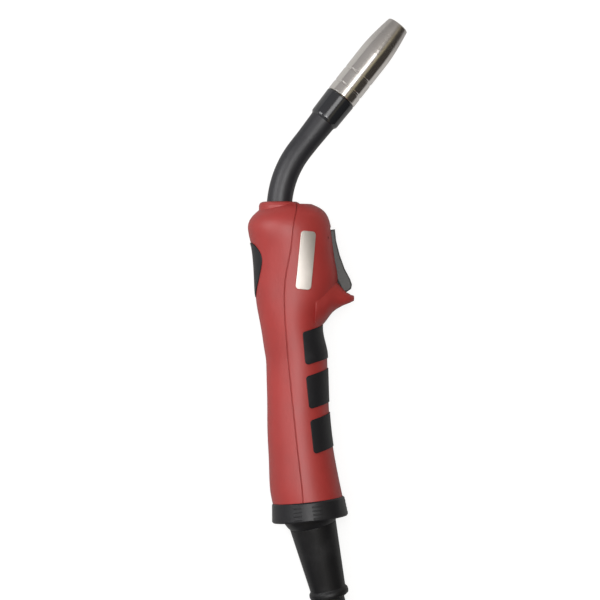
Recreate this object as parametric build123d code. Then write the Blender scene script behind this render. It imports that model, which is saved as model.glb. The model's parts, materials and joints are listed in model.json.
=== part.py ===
from build123d import *
import math
import os

# Air-cooled MIG welding torch lying on its side, with its ball-jointed cable and central plug.
# Everything is designed round the centre of the ball joint: X to the trigger side, Y along the
# handle towards the nozzle, Z up, z = 0 on the mid-plane. place() then moves each piece so that
# the row's origin is under the middle of the torch, on the surface that it lies on.
# Lengths are millimetres and angles are degrees.

# Handle: sections (y, rear edge, front edge, half width), from the cable end to the neck end
SECTIONS = [
    (-5, -21.2, 21.3, 20.6),
    (12, -22.2, 18.1, 20.0),
    (30, -23.2, 14.4, 18.8),
    (50, -23.9, 11.8, 17.8),
    (70, -24.1, 10.7, 17.2),
    (88, -25.2, 10.2, 17.2),
    (99, -26.9, 7.7, 17.5),
    (108, -28.6, 8.0, 18.0),
    (118, -30.3, 13.0, 18.8),
    (126, -31.0, 17.0, 19.4),
    (135, -31.3, 16.3, 20.0),
    (148, -32.6, 14.1, 20.8),
    (157, -34.8, 12.9, 21.2),
    (163, -34.6, 11.8, 20.4),
    (168, -30.8, 9.5, 17.8),
    (171, -27.0, 6.2, 14.8),
    (173.2, -22.5, 1.5, 11.0),
]
LOFT_STEPS = 20
DOME_START = 150.0
WALL = 2.5
SEAM = [(-6.9, -12), (-6.9, 5.5), (-9.1, 28), (-12.8, 65), (-15.9, 97.5), (-17.1, 116),
        (-16.4, 133), (-14.0, 147), (-12.2, 162), (-9.0, 173), (-5.5, 185)]
SEAM_WIDTH = 0.7
SEAM_DEPTH = 0.5
END_TILT = 6.37

# Clearances
FIT = 0.1
GAP = 0.3
RUNNING_FIT = 0.02

# Lock collar and ball joint: the ball's radius sets the socket round it
BALL_RADIUS = 16.6
BALL_TOP = 10.5
LINER_GAP = 0.15
LINER_WALL = 0.85
LINER_HALF = 2.2
SOCKET_RADIUS = BALL_RADIUS + 2 * LINER_GAP + LINER_WALL
CAGE_TOP = 12.0
CAGE_BORE = 9.0
CAGE_RADIUS = BALL_RADIUS + 1.6
CAGE_START = 2.0
SPIGOT_END = 1.5
SPIGOT_RADIUS = CAGE_RADIUS + 1.1
COLLAR_TOP = 4.8
COLLAR_BOTTOM = -6.3
COLLAR_TOP_RADIUS = SPIGOT_RADIUS + 1.3
COLLAR_RADIUS = COLLAR_TOP_RADIUS + 1.2
COLLAR_MOUTH = BALL_RADIUS - 0.4
COLLAR_LIP = 0.8
COLLAR_BEVEL = 0.8
GRIP_BAR_RINGS = (-4.6, -2.4, -0.2, 2.0)
GRIP_BAR_ANGLES = (-32, -2, 88, 118, 208, 238)
GRIP_BAR_LENGTH = 5.0
GRIP_BAR_WIDTH = 0.7
GRIP_BAR_PROUD = 0.3

# Cable support boot, leaning from the handle's end axis
CABLE_DIAMETER = 16.0
CABLE_BORE = CABLE_DIAMETER / 2 + FIT
BOOT_LEAN = 14.2
BOOT_DIP = 5.0
BOOT_START = 9.8
BOOT_START_RADIUS = CABLE_DIAMETER / 2 + 5.4
BOOT_END_RADIUS = CABLE_DIAMETER / 2 + 2.2
BOOT_LENGTH = 53.0
BOOT_LIP = 4.5
BOOT_LIP_RADIUS = BOOT_END_RADIUS + 1.2
BALL_SPIGOT = 22.0
BALL_SPIGOT_RADIUS = CABLE_DIAMETER / 2 + 2.5
BALL_FLARE = 0.28

# Cable: points (x, y from the ball centre, height of the centre line above the surface)
CABLE_START = 30.0
LEAD_STRAIGHT = 58.0
LEAD_POINTS = [(24.0, -85.0, 11.6), (31.0, -115.0, 8.8), (31.5, -145.0, 8.8), (29.0, -172.0, 9.6)]
TAIL_POINTS = [(23.0, -197.0, 25.2), (23.0, -234.9, 25.6), (8.6, -269.8, 20.5),
               (-18.2, -296.6, 19.0), (-53.1, -311.0, 23.0), (-90.0, -311.0, 23.0)]
COIL_CENTRE = (-73.0, -173.0)
COIL_OUTER = 112.0
COIL_INNER = 64.0
COIL_HEIGHT = 33.5
COIL_CORNER = 8.0
TIE_THICKNESS = 1.6
TIE_WIDTH = 20.0
TIE_ANGLES = (80, 165, 250)

# Neck: bent tube leaving the handle, then the straight front that carries the consumables
NECK_FOOT = (-16.9, 175.6)
NECK_TILT = 6.3
NECK_BEND = 32.2
NECK_BEND_RADIUS = 56.4
NECK_STRAIGHT = 37.6
CONDUCTOR_RADIUS = 5.0
CONDUCTOR_BORE = 2.6
SLEEVE_WALL = 2.1
NECK_RADIUS = CONDUCTOR_RADIUS + FIT + SLEEVE_WALL
SLEEVE_END_RADIUS = NECK_RADIUS + 0.45
SLEEVE_FLARE = 20.0
O_RING_DEPTH = 4.0
O_RING_GROOVE = 1.5
BOSS_X = -17.0
BOSS_RADIUS = 11.8
BOSS_TOP = 174.5
BOSS_BEVEL = 2.2
BOSS_DEPTH = 7.0

# Connector inside the handle, as depths from the neck foot
INSULATION_END = 9.0
NUT_START = 10.0
NUT_END = 17.0
NUT_FLATS = 2 * CONDUCTOR_RADIUS + 7.0
CONDUCTOR_END = 27.0
BLOCK_END = 36.0
BLOCK_RADIUS = NECK_RADIUS + 0.8
CRADLES = (143.0, 155.5)
CRADLE_THICKNESS = 2.2
FERRULE_END = 47.0
FERRULE_RADIUS = 6.2
CORE_RADIUS = 5.2
CORE_INSERT = 4.4
CORE_STRAIGHT = 5.0
CORE_POINTS = [(-17.0, 99.0), (-10.5, 70.0), (-5.4, 40.0)]
CORE_END = 3.0
CORE_END_STRAIGHT = 14.0

# Front end, as stations from the nozzle's rear rim
HOLDER_RADIUS = CONDUCTOR_RADIUS - 0.1
SPRING_WIRE = 0.4
SPRING_RADIUS = HOLDER_RADIUS + SPRING_WIRE + 0.15
INNER_BUSH_RADIUS = SPRING_RADIUS + SPRING_WIRE + 0.25
INNER_BUSH_WALL = 0.65
INSULATOR_WALL = 1.1
NOZZLE_WALL = 1.2
NOZZLE_RADIUS = INNER_BUSH_RADIUS + INNER_BUSH_WALL + INSULATOR_WALL + NOZZLE_WALL
NOZZLE_TIP_RADIUS = NOZZLE_RADIUS - 2.6
BUSH_LENGTH = 16.8
BUSH_REAR_RADIUS = NOZZLE_RADIUS - 0.35
BUSH_BEVEL = 1.6
NOZZLE_LENGTH = 53.8
NOZZLE_CYLINDER = 31.0
NOZZLE_CURVE = 1.6
NOZZLE_STEPS = 8
NOZZLE_GROOVES = (6.5, 16.0)
GROOVE_DEPTH = 0.35
INSULATOR_END = 15.0
HOLDER_START = -3.8
HOLDER_END = 26.5
TIP_RADIUS = 3.0
TIP_THREAD_RADIUS = 2.5
TIP_THREAD_START = 19.0
TIP_END = 51.5
TIP_BORE = 0.6
GAS_HOLE_RADIUS = 0.8
GAS_HOLES_AT = 16.5
LINER_RADIUS = 2.2
LINER_BORE = 0.9

# Trigger and switch
PIVOT = (7.6, 153.8)
PIN_RADIUS = 1.5
PIN_HALF = 12.4
TRIGGER_HALF = 7.0
TRIGGER_BEVEL = 0.85
SLOT_HALF = TRIGGER_HALF + 0.5
SLOT_RADIUS = 34.0
SLOT_TOP = 6.2
SLOT_REAR = 4.0
TRIGGER_OUTLINE = [(4.8, 157.0), (13.9, 158.9), (14.6, 152.5), (16.6, 144.5), (19.5, 136.5),
                   (22.7, 130.6), (23.8, 127.4), (23.3, 124.9), (20.3, 122.9), (18.4, 123.4),
                   (14.5, 131.0), (12.0, 138.0), (10.2, 146.0), (4.8, 150.0)]
TRIGGER_WALL = 2.0
TRIGGER_BACK = [(20.6, 125.6), (17.8, 120.0), (8.0, 126.0), (6.0, 142.0)]
PLUNGER_Y = 142.0
PLUNGER_TIP = 6.6
PLUNGER_RADIUS = 1.4
SWITCH_REAR = -6.2
SWITCH_FRONT = 4.0
SWITCH_LOW = 133.5
SWITCH_LENGTH = 20.0
SWITCH_WIDTH = 6.4
CARRIER_THICKNESS = 2.2
SPRING_Y = 128.4
RETURN_SPRING_RADIUS = 2.4
RETURN_SPRING_WIRE = 0.35
RETURN_SPRING_END = 12.0
# Finger guard: sections (x, low edge, high edge, half width), from inside the handle to its tip
HOOK_SECTIONS = [
    (1, 99.0, 138.0, 16.8),
    (8, 105.0, 135.0, 14.3),
    (12.8, 111.4, 131.5, 12.1),
    (16.4, 114.2, 127.8, 10.7),
    (19.1, 115.6, 124.6, 9.6),
    (22.7, 117.0, 121.9, 7.7),
    (25.2, 118.1, 121.1, 5.4),
]
HOOK_STEPS = 12
HOOK_ROUNDING = 0.45

# Trim on the handle: pads stand proud of the shells and sit in a recess
PAD_PROUD = 0.5
PAD_DEPTH = 1.5
PADS = {"grip_pad_upper": ((-6.8, 100.4), (30, 110.5), (30, 91.0), (-5.1, 81.7)),
        "grip_pad_middle": ((-4.8, 75.3), (30, 85.6), (30, 66.2), (-2.9, 56.8)),
        "grip_pad_lower": ((-2.4, 50.4), (30, 60.4), (30, 40.8), (-0.5, 31.4))}
PAD_CORNER = 1.8
THUMB_PAD = [(151, 0), (149.4, 6.0), (143.5, 10.0), (136, 8.6), (128, 5.0), (120.3, 0)]
PLATE_CENTRE = (-5.3, 141.0)
PLATE_SIZE = (8.9, 33.0)
PLATE_TILT = -5.2
PLATE_PROUD = 0.3
PLATE_DEPTH = 0.7
SCREW_PLACES = [(44, 11), (44, -11), (99, 11), (99, -11)]
SCREW_RADIUS = 1.5
SCREW_HEAD_RADIUS = 2.8
COLUMN_RADIUS = SCREW_HEAD_RADIUS + 1.4
SCREW_HEAD_DEPTH = 8.5
SCREW_HEAD_HEIGHT = 2.0
SCREW_LENGTH = 16.0

# Central plug, as stations from the mouth of its boot
PLUG_MOUTH = (-66.0, -311.0)
NUT_RADIUS = 23.0
PLUG_BOOT_END = 33.8
PLUG_BOOT_RADIUS = CABLE_DIAMETER / 2 + 3.0
PLUG_BOOT_BASE = CABLE_DIAMETER / 2 + 6.6
PLUG_BOOT_FLANGE = PLUG_BOOT_BASE + 1.0
HOUSING_START = 30.0
HOUSING_END = 78.0
HOUSING_RADIUS = 21.0
HOUSING_WALL = 2.5
CRIMP_RADIUS = CABLE_DIAMETER / 2
CRIMP_START = 24.3
CRIMP_END = 56.0
FLANGE_BACK = 76.0
FLANGE_STEP = 84.0
FLANGE_STEP_END = 88.0
FLANGE_FRONT = 100.0
FLANGE_RADIUS = 18.0
FLANGE_HUB = 16.0
FLANGE_NOSE = 14.5
PLUG_NUT_START = 79.5
PLUG_NUT_END = 101.0
SPIGOT_PIN_RADIUS = 6.5
PLUG_LENGTH = 126.0
O_RING_AT = 119.0
O_RING_SECTION = 1.0
CONTROL_PIN_RADIUS = 1.5
CONTROL_PIN_OFFSET = 11.0
CONTROL_PIN_TRAVEL = 3.5
CONTROL_PIN_END = 106.0
CONTROL_PIN_START = FLANGE_BACK + 6.0
PLUG_SCREWS = {38: 12.6, 66: 14.4}
PLUG_SCREW_RADIUS = 1.4
PLUG_SCREW_HEAD = 2.6
PLUG_SCREW_SEAT = 8.0
PLUG_POST_RADIUS = 3.4
PLUG_BORE_RADIUS = 7.5
NUT_GROOVES = 12

FLOOR = -COLLAR_RADIUS
BIG = 400.0


def heading(angle, dip=0.0):
    """Unit vector in the torch's plane, measured clockwise from +Y, dipping below it by dip."""
    flat = math.cos(math.radians(dip))
    return Vector(math.sin(math.radians(angle)) * flat, math.cos(math.radians(angle)) * flat,
                  -math.sin(math.radians(dip)))


def axis_at(point, direction):
    """Plane whose Z runs along direction, with its X as near as can be to straight up."""
    across = direction.cross(Vector(0, 0, 1)).normalized()
    return Plane(origin=Vector(*point), x_dir=across, z_dir=direction)


NECK_DIR = heading(NECK_TILT)
FRONT_DIR = heading(NECK_TILT + NECK_BEND)
FOOT = Vector(*NECK_FOOT)
NECK_CORNER = FOOT + NECK_DIR * NECK_BEND_RADIUS * math.tan(math.radians(NECK_BEND / 2))
NOZZLE_REAR = NECK_CORNER + FRONT_DIR * (
    NECK_BEND_RADIUS * math.tan(math.radians(NECK_BEND / 2)) + NECK_STRAIGHT)
END_DIR = heading(-END_TILT)
BOOT_DIR = heading(180 - BOOT_LEAN, BOOT_DIP)
END_AXIS = axis_at((0, 0, 0), END_DIR)
BOOT_AXIS = axis_at((0, 0, 0), BOOT_DIR)
NECK_AXIS = axis_at(FOOT, NECK_DIR)
FRONT_AXIS = axis_at(NOZZLE_REAR, FRONT_DIR)
PLUG_AXIS = axis_at((PLUG_MOUTH[0], PLUG_MOUTH[1], FLOOR + NUT_RADIUS), Vector(-1, 0, 0))


def turned(axis, outline):
    """Solid of revolution about an axis, from a closed outline of (station, radius) points."""
    profile = make_face(Plane.XZ * Polyline(*[(r, s) for s, r in outline], close=True))
    return axis.location * revolve(profile, Axis.Z)


def barrel(axis, start, end, radius, bore=0.0):
    """Plain cylinder or tube between two stations of an axis."""
    return turned(axis, [(start, bore), (start, radius), (end, radius), (end, bore)])


def cut_above(axis, station):
    """Large block covering everything beyond a station of an axis."""
    block = Box(BIG, BIG, BIG, align=(Align.CENTER, Align.CENTER, Align.MIN))
    return axis.location * Pos(0, 0, station) * block


def between(sections, place, column):
    """One column of a table of sections at a place along it, smooth through its rows."""
    rows = [sections[0]] + sections + [sections[-1]]
    index = max(i for i in range(1, len(rows) - 2) if rows[i][0] <= place)
    before, low, high, after = rows[index - 1:index + 3]
    span = high[0] - low[0]
    share = (place - low[0]) / span
    slope_low = span * (high[column] - before[column]) / (high[0] - before[0])
    slope_high = span * (after[column] - low[column]) / (after[0] - low[0])
    return ((2 * share ** 3 - 3 * share ** 2 + 1) * low[column]
            + (share ** 3 - 2 * share ** 2 + share) * slope_low
            + (3 * share ** 2 - 2 * share ** 3) * high[column]
            + (share ** 3 - share ** 2) * slope_high)


def stations(sections, steps):
    """Places along a table of sections, crowding towards its end."""
    low, high = sections[0][0], sections[-1][0]
    return [low + (high - low) * math.sin(math.pi / 2 * step / steps) for step in range(steps + 1)]


def handle_body(inset):
    """Solid handle shape, with its surface moved inwards by inset."""
    faces = []
    for y in stations(SECTIONS, LOFT_STEPS):
        rear, front, half = (between(SECTIONS, y, column) for column in (1, 2, 3))
        level = y - inset * max(0, (y - DOME_START) / (SECTIONS[-1][0] - DOME_START))
        plane = Plane(origin=((rear + front) / 2, level, 0), x_dir=(1, 0, 0), z_dir=(0, 1, 0))
        faces.append(plane * Ellipse((front - rear) / 2 - inset, half - inset))
    return loft(faces)


OUTER = handle_body(0)


def prism(points, low, high):
    """Closed outline in the torch's plane, extruded from one height to another."""
    return Pos(0, 0, low) * extrude(make_face(Polyline(*points, close=True)), high - low)


def rounded_prism(points, radius, low, high):
    """As prism, with every corner of the outline rounded."""
    face = make_face(Polyline(*points, close=True))
    return Pos(0, 0, low) * extrude(fillet(face.vertices(), radius), high - low)


def neck_path(depth, station):
    """Centre line of the neck, from a depth inside the handle to a station on the front axis."""
    return FilletPolyline(FOOT - NECK_DIR * depth, NECK_CORNER, NOZZLE_REAR + FRONT_DIR * station,
                          radius=NECK_BEND_RADIUS)


def swept(path, radius):
    """Round bar along a path."""
    start = Plane(origin=path @ 0, z_dir=path % 0)
    return sweep(start * Circle(radius), path=path)


def neck_tube(depth, station, radius, bore):
    """Tube that follows the neck's bend."""
    return swept(neck_path(depth, station), radius) - swept(neck_path(depth, station), bore)


def route_radii(points):
    """Largest arc at each corner: 0.45 of the shorter run, over the tangent of half the turn."""
    radii = []
    for before, here, after in zip(points, points[1:], points[2:]):
        turn = (here - before).get_angle(after - here)
        shorter = min((here - before).length, (after - here).length)
        radii.append(0.45 * shorter / math.tan(math.radians(turn / 2)))
    return radii


def cable_tube(points, radius, name):
    """Round tube of straight runs joined by tangent arcs, with its arc radii printed."""
    radii = route_radii(points)
    path = FilletPolyline(*points, radius=radii)
    tube = swept(path, radius)
    section = math.pi * radius ** 2
    print(name, "radii", [round(r) for r in radii], "length", round(path.length, 1),
          "volume against section x length", round(tube.volume / (section * path.length), 4))
    return tube


def spring(axis, start, end, radius, wire, turns):
    """Helical spring round an axis."""
    coil = Helix(pitch=(end - start) / turns, height=end - start, radius=radius)
    section = Plane(origin=coil @ 0, z_dir=coil % 0) * Circle(wire)
    return axis.location * Pos(0, 0, start) * sweep(section, path=coil, is_frenet=True)


# ---- handle shells


def seam_side(shift):
    """Block in front of the seam line, moved along X by shift."""
    points = [Vector(x + shift, y) for x, y in SEAM]
    line = Spline(*points)
    corners = Polyline(points[-1], (60, points[-1].Y), (60, points[0].Y), points[0])
    return Pos(0, 0, -60) * extrude(make_face([line, corners]), 120)


def neck_boss():
    """Ring of shell round the neck, with a bevelled rim."""
    axis = axis_at((BOSS_X, 0, 0), Vector(0, 1, 0))
    post = turned(axis, [
        (DOME_START, 0), (DOME_START, BOSS_RADIUS), (BOSS_TOP - BOSS_BEVEL, BOSS_RADIUS),
        (BOSS_TOP - 0.3 * BOSS_BEVEL, BOSS_RADIUS - 0.3 * BOSS_BEVEL),
        (BOSS_TOP, BOSS_RADIUS - BOSS_BEVEL), (BOSS_TOP, 0)])
    return post - barrel(NECK_AXIS, -40, -BOSS_DEPTH, 2 * BOSS_RADIUS)


def hook():
    """Finger guard under the trigger: a horn that narrows to a rounded tip."""
    faces = []
    for x in stations(HOOK_SECTIONS, HOOK_STEPS):
        low, high, half = (between(HOOK_SECTIONS, x, column) for column in (1, 2, 3))
        plane = Plane(origin=(x, (low + high) / 2, 0), x_dir=(0, 1, 0), z_dir=(1, 0, 0))
        corner = HOOK_ROUNDING * min(high - low, 2 * half)
        faces.append(plane * RectangleRounded(high - low, 2 * half, corner))
    return loft(faces)


def trigger_slot():
    """Slot that the trigger swings in: its lower end is an arc about the pivot."""
    x, y = PIVOT
    opening = Box(BIG, SLOT_RADIUS + SLOT_TOP, 2 * SLOT_HALF, align=(Align.MIN, Align.MAX, Align.CENTER))
    opening = Pos(SLOT_REAR, y + SLOT_TOP, 0) * opening
    return opening & Pos(x, y, 0) * Cylinder(SLOT_RADIUS, 2 * SLOT_HALF)


def screw_columns():
    """Posts across the handle that the shell screws run through."""
    posts = [Pos(-8, y, z) * Rot(0, 90, 0) * Cylinder(COLUMN_RADIUS, 60) for y, z in SCREW_PLACES]
    return Compound(posts)


def screw_axis(y, z):
    """Axis of one shell screw, pointing inwards from under its head."""
    rear, front, half = (between(SECTIONS, y, column) for column in (1, 2, 3))
    surface = (front + rear) / 2 + (front - rear) / 2 * math.sqrt(1 - (z / half) ** 2)
    return Plane(origin=(surface - SCREW_HEAD_DEPTH, y, z), z_dir=(-1, 0, 0))


def cross_recess(size, depth):
    """Cross cut into the top of a screw head, whose top is at z = 0."""
    bar = Box(size, 0.22 * size, 2 * depth) + Box(0.22 * size, size, 2 * depth)
    return bar + Cylinder(0.24 * size, 2 * depth)


def shell_screw(y, z):
    """Pan-head screw along X, with its head sunk in the front shell."""
    axis = screw_axis(y, z)
    recess = axis.location * Pos(0, 0, -SCREW_HEAD_HEIGHT) * cross_recess(3.2, 1.1)
    return turned(axis, [
        (-SCREW_HEAD_HEIGHT, 0), (-SCREW_HEAD_HEIGHT, SCREW_HEAD_RADIUS - 0.5),
        (-SCREW_HEAD_HEIGHT + 0.6, SCREW_HEAD_RADIUS), (0, SCREW_HEAD_RADIUS), (0, SCREW_RADIUS),
        (SCREW_LENGTH - 2, SCREW_RADIUS), (SCREW_LENGTH, 0)]) - recess


def screw_hole(y, z):
    """Hole and counterbore for one shell screw."""
    return turned(screw_axis(y, z), [
        (-20, 0), (-20, SCREW_HEAD_RADIUS + FIT), (0, SCREW_HEAD_RADIUS + FIT),
        (0, SCREW_RADIUS + RUNNING_FIT),
        (SCREW_LENGTH + GAP, SCREW_RADIUS + RUNNING_FIT), (SCREW_LENGTH + GAP, 0)])


def ribs():
    """Two cradles in the rear shell that hold the connector block."""
    cavity = handle_body(WALL - 0.2)
    slabs = Compound([Pos(-20, y, 0) * Box(16, CRADLE_THICKNESS, 60) for y in CRADLES])
    return (cavity & slabs) - barrel(NECK_AXIS, -BLOCK_END - 1, -NUT_END, BLOCK_RADIUS + FIT)


def pad_region(corners):
    """Block over one grip pad's outline."""
    return rounded_prism(corners, PAD_CORNER, -40, 40)


def thumb_region():
    """Block over the thumb pad's teardrop outline on the rear of the handle."""
    edge = [(y, z) for y, z in THUMB_PAD]
    plane = Plane(origin=(-16, 0, 0), x_dir=(0, 1, 0), z_dir=(-1, 0, 0))
    upper = Spline(*edge)
    lower = Spline(*[(y, -z) for y, z in edge])
    return extrude(plane * make_face([upper, lower]), 40)


def plate_region():
    """Block over the name plate's rounded outline."""
    face = Rot(0, 0, PLATE_TILT) * RectangleRounded(*PLATE_SIZE, 2.0)
    return Pos(PLATE_CENTRE[0], PLATE_CENTRE[1], 8) * extrude(face, 20)


PAD_FLOOR = handle_body(PAD_DEPTH)
PAD_TOP = handle_body(-PAD_PROUD)


def pad(region):
    """Soft pad: the layer between the recess floor and just above the shell, within its outline."""
    return (region & PAD_TOP) - PAD_FLOOR


def shell_blank():
    """Both handle shells in one piece, hollow, with all openings cut."""
    end = cut_above(END_AXIS, COLLAR_TOP)
    blank = OUTER - handle_body(WALL)
    blank = blank + (screw_columns() & handle_body(WALL / 2))
    blank = blank + neck_boss()
    blank = blank + ribs()
    blank = blank + (hook() - handle_body(WALL))
    blank = blank & end
    blank = blank - barrel(END_AXIS, -40, CAGE_TOP + 0.2, CAGE_RADIUS + FIT)
    spigot = barrel(END_AXIS, SPIGOT_END, COLLAR_TOP + 1, SPIGOT_RADIUS, CAGE_RADIUS + FIT)
    blank = blank + spigot
    blank = blank - barrel(NECK_AXIS, -16, 20, NECK_RADIUS + FIT)
    blank = blank - barrel(NECK_AXIS, -O_RING_DEPTH - 1, -O_RING_DEPTH + 1, NECK_RADIUS + O_RING_GROOVE)
    blank = blank - trigger_slot()
    blank = blank - Pos(PIVOT[0], PIVOT[1], 0) * Cylinder(PIN_RADIUS + RUNNING_FIT, 2 * (PIN_HALF + FIT))
    for y, z in SCREW_PLACES:
        blank = blank - screw_hole(y, z)
    for corners in PADS.values():
        blank = blank - (pad_region(corners) - PAD_FLOOR)
    blank = blank - (thumb_region() - PAD_FLOOR)
    blank = blank - (plate_region() - handle_body(PLATE_DEPTH))
    groove = seam_side(-SEAM_WIDTH / 2) - seam_side(SEAM_WIDTH / 2)
    return blank - ((groove - handle_body(SEAM_DEPTH)) & end)


BLANK = shell_blank()


def largest(shape):
    """Biggest solid of a shape, without crumbs left by a cut."""
    return max(shape.solids(), key=lambda solid: solid.volume)


def front_shell():
    return largest(BLANK & seam_side(0))


def rear_shell():
    return largest(BLANK - seam_side(0))


def name_plate():
    return (plate_region() & handle_body(-PLATE_PROUD)) - handle_body(PLATE_DEPTH)


def shell_screws():
    return Compound([shell_screw(y, z) for y, z in SCREW_PLACES])


# ---- ball joint and collar


def sphere_zone(axis, radius, low, high):
    """Part of a sphere between two stations of an axis through its centre."""
    return Sphere(radius) & barrel(axis, low, high, 2 * radius)


def grip_bars():
    """Short raised bars round the collar, in pairs of columns."""
    middle = (COLLAR_TOP + COLLAR_BOTTOM) / 2
    taper = (COLLAR_RADIUS - COLLAR_TOP_RADIUS) / (COLLAR_TOP - COLLAR_BOTTOM)
    rings = []
    for station in GRIP_BAR_RINGS:
        radius = COLLAR_RADIUS - taper * (station - COLLAR_BOTTOM) + GRIP_BAR_PROUD
        rings.append(barrel(END_AXIS, station - GRIP_BAR_WIDTH / 2, station + GRIP_BAR_WIDTH / 2,
                            radius, COLLAR_TOP_RADIUS - 2))
    blocks = [END_AXIS.location * Rot(0, 0, -angle) * Pos(COLLAR_RADIUS, 0, middle)
              * Box(6, GRIP_BAR_LENGTH, 12) for angle in GRIP_BAR_ANGLES]
    return Compound([ring & block for ring in rings for block in blocks])


def lock_collar():
    """Screwed ring that closes the ball socket, with bars to grip it by."""
    ring = turned(END_AXIS, [(COLLAR_BOTTOM, COLLAR_MOUTH), (COLLAR_BOTTOM, COLLAR_RADIUS - 0.6),
                             (COLLAR_BOTTOM + COLLAR_BEVEL, COLLAR_RADIUS),
                             (COLLAR_TOP - COLLAR_BEVEL, COLLAR_TOP_RADIUS + 0.2),
                             (COLLAR_TOP - FIT, COLLAR_TOP_RADIUS - 0.4),
                             (COLLAR_TOP - FIT, COLLAR_MOUTH)])
    socket = sphere_zone(END_AXIS, SOCKET_RADIUS, COLLAR_BOTTOM + COLLAR_LIP, CAGE_TOP)
    thread = barrel(END_AXIS, SPIGOT_END - 0.2, 20, SPIGOT_RADIUS + FIT)
    return ring + grip_bars() - socket - thread


def ball_cage():
    """Upper half of the ball socket, held between shells and collar."""
    ring = barrel(END_AXIS, CAGE_START, CAGE_TOP, CAGE_RADIUS, CAGE_BORE)
    return ring - Sphere(SOCKET_RADIUS)


def ball_liner():
    """Slippery band between ball and socket, square to the boot in the sideways direction."""
    axis = axis_at((0, 0, 0), heading(-END_TILT, -BOOT_DIP))
    band = sphere_zone(axis, BALL_RADIUS + LINER_GAP + LINER_WALL, -LINER_HALF, LINER_HALF)
    return band - Sphere(BALL_RADIUS + LINER_GAP)


def knuckle_ball():
    """Ball on the cable's end, bored for the cable and flared so that the handle can tilt."""
    ball = sphere_zone(BOOT_AXIS, BALL_RADIUS, -BALL_TOP, BOOT_START)
    ball = ball + barrel(BOOT_AXIS, BOOT_START - 1, BALL_SPIGOT, BALL_SPIGOT_RADIUS)
    above = BALL_TOP + 3
    return ball - turned(BOOT_AXIS, [(-above, 0), (-above, CABLE_BORE + BALL_FLARE * above),
                                     (0, CABLE_BORE), (60, CABLE_BORE), (60, 0)])


def cable_boot():
    """Tapered cable support with a thick lip at its mouth."""
    lip = BOOT_LENGTH - BOOT_LIP
    return turned(BOOT_AXIS, [
        (BOOT_START + FIT, BALL_SPIGOT_RADIUS + FIT), (BOOT_START + FIT, BOOT_START_RADIUS),
        (lip - 0.6, BOOT_END_RADIUS), (lip + 0.8, BOOT_LIP_RADIUS - 0.2),
        (lip + 2.2, BOOT_LIP_RADIUS), (lip + 3.6, BOOT_LIP_RADIUS - 0.3),
        (BOOT_LENGTH, BOOT_LIP_RADIUS - 1.6), (BOOT_LENGTH, CABLE_BORE),
        (BALL_SPIGOT + FIT, CABLE_BORE), (BALL_SPIGOT + FIT, BALL_SPIGOT_RADIUS + FIT)])


# ---- cable, coil and ties


def cable_root():
    """Stretch of cable held in the ball and boot."""
    return barrel(BOOT_AXIS, -1, CABLE_START, CABLE_DIAMETER / 2)


def cable_lead():
    """Free cable from inside the boot to the coil."""
    points = [BOOT_DIR * CABLE_START, BOOT_DIR * LEAD_STRAIGHT]
    points += [Vector(x, y, FLOOR + h) for x, y, h in LEAD_POINTS]
    return cable_tube(points, CABLE_DIAMETER / 2, "cable_lead")


def cable_tail():
    """Free cable from the top of the coil to the plug."""
    points = [Vector(x, y, FLOOR + h) for x, y, h in TAIL_POINTS]
    return cable_tube(points, CABLE_DIAMETER / 2, "cable_tail")


def coil_ring(grow):
    """Ring of the coiled cable's outer shape, or one grown all round."""
    low = TIE_THICKNESS - grow
    high = COIL_HEIGHT + grow
    width = COIL_OUTER - COIL_INNER + 2 * grow
    middle = (COIL_OUTER + COIL_INNER) / 2
    face = Pos(middle, (low + high) / 2) * RectangleRounded(width, high - low, COIL_CORNER)
    ring = revolve(Plane.XZ * face, Axis.Z)
    return Pos(COIL_CENTRE[0], COIL_CENTRE[1], FLOOR) * ring


def coil_ties():
    """Straps round the coil."""
    loop = coil_ring(TIE_THICKNESS) - coil_ring(0)
    middle = (COIL_OUTER + COIL_INNER) / 2
    cuts = [Pos(COIL_CENTRE[0], COIL_CENTRE[1], FLOOR) * Rot(0, 0, angle)
            * Pos(middle, 0, COIL_HEIGHT / 2) * Box(80, TIE_WIDTH, 80) for angle in TIE_ANGLES]
    return Compound([largest(loop & cut) for cut in cuts])


# ---- neck


def neck_insulation():
    """Sleeve over the neck, flared where the bush starts."""
    bore = CONDUCTOR_RADIUS + FIT
    flare = turned(FRONT_AXIS, [
        (-BUSH_LENGTH - SLEEVE_FLARE, bore), (-BUSH_LENGTH - SLEEVE_FLARE, NECK_RADIUS - 0.2),
        (-BUSH_LENGTH, SLEEVE_END_RADIUS), (-BUSH_LENGTH, bore)])
    return neck_tube(INSULATION_END, -BUSH_LENGTH, NECK_RADIUS, bore) + flare


def neck_conductor():
    return neck_tube(CONDUCTOR_END, HOLDER_START - 0.2, CONDUCTOR_RADIUS, CONDUCTOR_BORE)


def wire_liner():
    return neck_tube(FERRULE_END - 6, TIP_THREAD_START - 1, LINER_RADIUS, LINER_BORE)


def neck_bush():
    """Glossy insulating sleeve between neck and nozzle."""
    return turned(FRONT_AXIS, [
        (-BUSH_LENGTH, CONDUCTOR_RADIUS + FIT), (-BUSH_LENGTH, SLEEVE_END_RADIUS + 0.05),
        (-BUSH_LENGTH + BUSH_BEVEL, BUSH_REAR_RADIUS), (-4, NOZZLE_RADIUS - 0.1),
        (-0.4, NOZZLE_RADIUS), (0, NOZZLE_RADIUS - 0.4), (0, CONDUCTOR_RADIUS + FIT)])


def neck_nut():
    """Hexagon nut that clamps the neck."""
    face = RegularPolygon(NUT_FLATS / 2, 6, major_radius=False)
    hexagon = NECK_AXIS.location * Pos(0, 0, -NUT_END) * extrude(face, NUT_END - NUT_START)
    return hexagon - barrel(NECK_AXIS, -NUT_END, -NUT_START, CONDUCTOR_RADIUS + FIT)


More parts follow.
